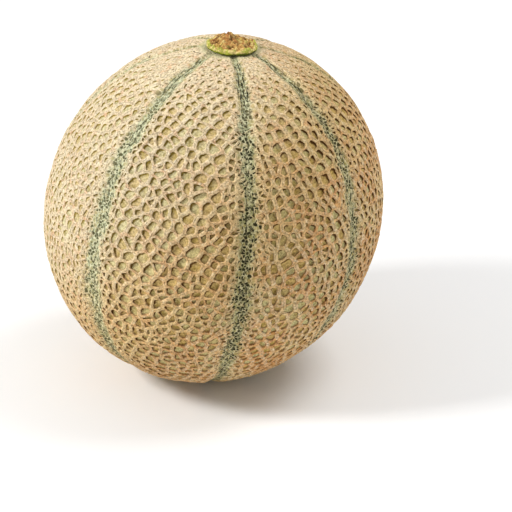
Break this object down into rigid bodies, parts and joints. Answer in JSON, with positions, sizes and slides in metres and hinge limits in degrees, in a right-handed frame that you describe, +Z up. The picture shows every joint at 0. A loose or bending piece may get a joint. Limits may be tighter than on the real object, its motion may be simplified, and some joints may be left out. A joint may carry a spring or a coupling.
{
  "type": "cantaloupe melon",
  "caption": "Whole netted cantaloupe melon resting on a small flat spot, with furrowed sutures, raised net and a corky stem stub.",
  "frame": {"origin": "on the flat resting spot, straight below the centre of the body", "axes": "+Z up, away from the resting spot; the stem stub is on top, leaning a little towards +X; -Y is the front"},
  "size_m": [0.1512, 0.1479, 0.1585],
  "materials": {
    "netted_rind": "matte",
    "stem_cork": "matte"
  },
  "bodies": {
    "root": {"melon_body": "netted_rind", "stem_stub": "stem_cork"}
  },
  "joints": []
}
